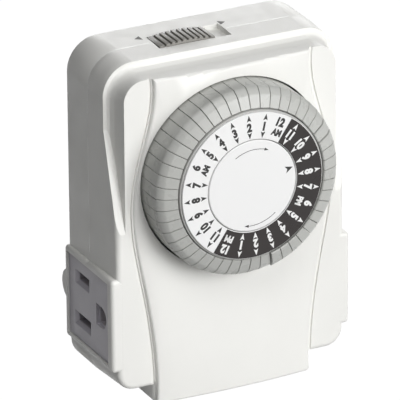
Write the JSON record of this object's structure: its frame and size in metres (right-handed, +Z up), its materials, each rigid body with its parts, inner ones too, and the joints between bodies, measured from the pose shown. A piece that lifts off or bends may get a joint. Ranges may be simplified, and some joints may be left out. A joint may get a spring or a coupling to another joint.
{
  "type": "plug in timer switch",
  "caption": "Mechanical plug-in timer: 24-hour dial with push tabs on a white case, override slider on top, a grounded outlet on each side, plug on the back.",
  "frame": {"origin": "centre of the bounding box's underside, where the case stands on its base", "axes": "+X to the right seen from the dial side, +Y from the dial towards the wall plug, +Z up"},
  "size_m": [0.0744, 0.07, 0.1019],
  "materials": {
    "case_white": "off-white moulded plastic, fine satin grain",
    "insert_grey": "purple-grey moulded plastic, satin",
    "tab_grey": "light grey moulded plastic, satin",
    "drum_grey": "grey moulded plastic, satin",
    "dial_print": "white and black printed plastic",
    "disc_white": "smooth white plastic",
    "knob_grey": "dark warm grey plastic, satin",
    "natural_plastic": "natural nylon",
    "gear_plastic": "white acetal",
    "steel": "zinc-plated steel",
    "plate_steel": "stamped plated steel",
    "can_zinc": "drawn zinc-plated steel",
    "magnet": "dark ferrite in plastic",
    "copper_wire": "enamelled copper winding",
    "lead_insulation": "black insulation",
    "brass": "stamped brass",
    "spring_bronze": "phosphor bronze leaf",
    "contact_silver": "silver alloy"
  },
  "bodies": {
    "case": {"front_cover": "case_white", "back_cover": "case_white", "left_outlet_insert": "insert_grey", "right_outlet_insert": "insert_grey", "centre_disc": "disc_white", "dial_axle": "steel", "idler_shaft": "steel", "motor_can": "can_zinc", "motor_lid": "can_zinc", "coil_bobbin": "natural_plastic", "motor_coil": "copper_wire", "motor_leads": "lead_insulation", "gear_plate": "plate_steel", "plate_screws": "steel", "motor_screws": "steel", "case_screws": "steel", "hot_clips": "brass", "neutral_clips": "brass", "ground_clips": "brass", "load_strap": "brass", "neutral_strap": "brass", "ground_strap": "brass", "line_strap": "brass", "line_blade": "brass", "neutral_blade": "brass", "ground_pin": "brass", "follower_pin": "steel", "fixed_contact": "contact_silver"},
    "dial": {"dial_drum": "drum_grey", "dial_face": "dial_print", "dial_gear": "gear_plastic"},
    "idler": {"idler_gear": "gear_plastic"},
    "rotor": {"motor_rotor": "magnet", "rotor_shaft": "steel", "motor_pinion": "gear_plastic"},
    "override": {"override_knob": "knob_grey", "override_bar": "natural_plastic"},
    "follower": {"cam_follower": "natural_plastic"},
    "leaf": {"moving_leaf": "spring_bronze", "moving_contact": "contact_silver"},
    "bank_01": {"tripper_bank_01": "tab_grey"},
    "bank_02": {"tripper_bank_02": "tab_grey"},
    "bank_03": {"tripper_bank_03": "tab_grey"},
    "bank_04": {"tripper_bank_04": "tab_grey"},
    "bank_05": {"tripper_bank_05": "tab_grey"},
    "bank_06": {"tripper_bank_06": "tab_grey"},
    "bank_07": {"tripper_bank_07": "tab_grey"},
    "bank_08": {"tripper_bank_08": "tab_grey"},
    "bank_09": {"tripper_bank_09": "tab_grey"},
    "bank_10": {"tripper_bank_10": "tab_grey"},
    "bank_11": {"tripper_bank_11": "tab_grey"},
    "bank_12": {"tripper_bank_12": "tab_grey"}
  },
  "joints": [
    {"name": "dial_turn", "type": "hinge", "parent": "case", "child": "dial", "pos_m": [0, -0.025, 0.066], "axis": [0, 1, 0], "continuous": true},
    {"name": "idler_spin", "type": "hinge", "parent": "case", "child": "idler", "pos_m": [0.00743, -0.008, 0.04161], "axis": [0, 1, 0], "continuous": true},
    {"name": "rotor_spin", "type": "hinge", "parent": "case", "child": "rotor", "pos_m": [0, -0.002, 0.028], "axis": [0, 1, 0], "continuous": true},
    {"name": "override_slide", "type": "slide", "parent": "case", "child": "override", "axis": [1, 0, 0], "range_m": [0, 0.0046]},
    {"name": "follower_tilt", "type": "hinge", "parent": "case", "child": "follower", "pos_m": [-0.02, -0.00535, 0.095], "axis": [1, 0, 0], "range_deg": [0, 7.5], "stiffness_Nm_per_rad": 0.02, "springref_deg": -2.86},
    {"name": "leaf_bend", "type": "hinge", "parent": "case", "child": "leaf", "pos_m": [-0.02, -0.00295, 0.0939], "axis": [1, 0, 0], "range_deg": [0, 8.3]},
    {"name": "bank_01_push", "type": "slide", "parent": "dial", "child": "bank_01", "axis": [0, 1, 0], "range_m": [0, 0.0026]},
    {"name": "bank_02_push", "type": "slide", "parent": "dial", "child": "bank_02", "axis": [0, 1, 0], "range_m": [0, 0.0026]},
    {"name": "bank_03_push", "type": "slide", "parent": "dial", "child": "bank_03", "axis": [0, 1, 0], "range_m": [0, 0.0026]},
    {"name": "bank_04_push", "type": "slide", "parent": "dial", "child": "bank_04", "axis": [0, 1, 0], "range_m": [0, 0.0026]},
    {"name": "bank_05_push", "type": "slide", "parent": "dial", "child": "bank_05", "axis": [0, 1, 0], "range_m": [0, 0.0026]},
    {"name": "bank_06_push", "type": "slide", "parent": "dial", "child": "bank_06", "axis": [0, 1, 0], "range_m": [0, 0.0026]},
    {"name": "bank_07_push", "type": "slide", "parent": "dial", "child": "bank_07", "axis": [0, 1, 0], "range_m": [0, 0.0026]},
    {"name": "bank_08_push", "type": "slide", "parent": "dial", "child": "bank_08", "axis": [0, 1, 0], "range_m": [0, 0.0026]},
    {"name": "bank_09_push", "type": "slide", "parent": "dial", "child": "bank_09", "axis": [0, 1, 0], "range_m": [0, 0.0026]},
    {"name": "bank_10_push", "type": "slide", "parent": "dial", "child": "bank_10", "axis": [0, 1, 0], "range_m": [0, 0.0026]},
    {"name": "bank_11_push", "type": "slide", "parent": "dial", "child": "bank_11", "axis": [0, 1, 0], "range_m": [0, 0.0026]},
    {"name": "bank_12_push", "type": "slide", "parent": "dial", "child": "bank_12", "axis": [0, 1, 0], "range_m": [0, 0.0026]}
  ],
  "couplings": [
    {"joint": "idler_spin", "follows": "dial_turn", "ratio": -7.5},
    {"joint": "rotor_spin", "follows": "dial_turn", "ratio": 31.25},
    {"joint": "leaf_bend", "follows": "follower_tilt", "ratio": 1.0923}
  ]
}
